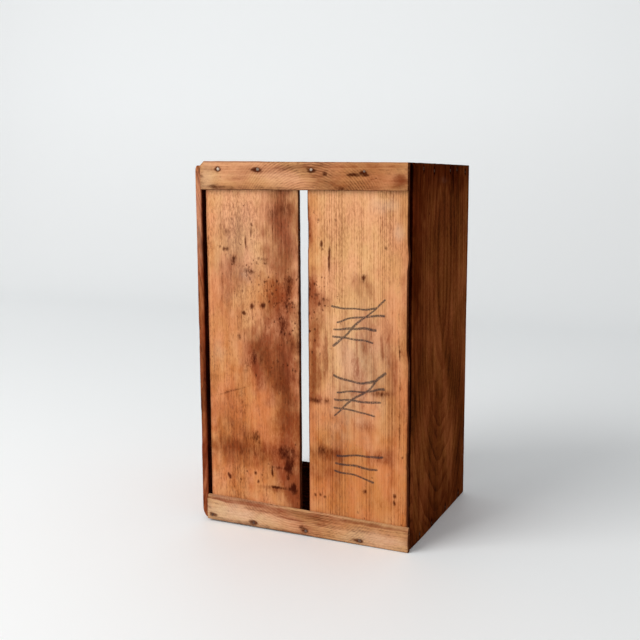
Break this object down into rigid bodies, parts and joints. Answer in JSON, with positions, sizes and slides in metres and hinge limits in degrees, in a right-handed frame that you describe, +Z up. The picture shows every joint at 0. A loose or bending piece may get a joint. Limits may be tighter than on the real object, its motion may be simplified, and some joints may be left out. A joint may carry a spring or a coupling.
{
  "type": "wooden apple crate",
  "caption": "Nailed softwood fruit crate with thick end boards, thin side boards, a slatted bottom held by end cleats and an open top, standing on its end.",
  "frame": {"origin": "on the floor, under the middle of the crate's outer box, with the crate standing on its lower end board", "axes": "+Z up along the crate's length, -Y towards the slatted bottom, +Y towards the open top, +X to the right of somebody who faces the slats"},
  "size_m": [0.313, 0.2608, 0.5005],
  "materials": {
    "side_wood": "old dark brown planed softwood with cathedral grain, satin with handling",
    "end_wood": "rough-sawn softwood, dusty matt brown",
    "slat_wood": "warm orange-brown planed softwood with fine straight grain, stains and crayon strokes",
    "cleat_wood": "rough-sawn softwood with saw marks and dark patches round the nails",
    "nail_steel": "dark rusted steel with worn grey heads"
  },
  "bodies": {
    "root": {"end_board_lower": "end_wood", "end_board_upper": "end_wood", "side_board_left": "side_wood", "side_board_right": "side_wood", "bottom_slat_left": "slat_wood", "bottom_slat_right": "slat_wood", "cleat_upper": "cleat_wood", "cleat_lower": "cleat_wood", "nails_cleat_upper": "nail_steel", "nails_cleat_lower": "nail_steel", "nails_side_left_upper": "nail_steel", "nails_side_left_lower": "nail_steel", "nails_side_right_upper": "nail_steel", "nails_side_right_lower": "nail_steel"}
  },
  "joints": []
}
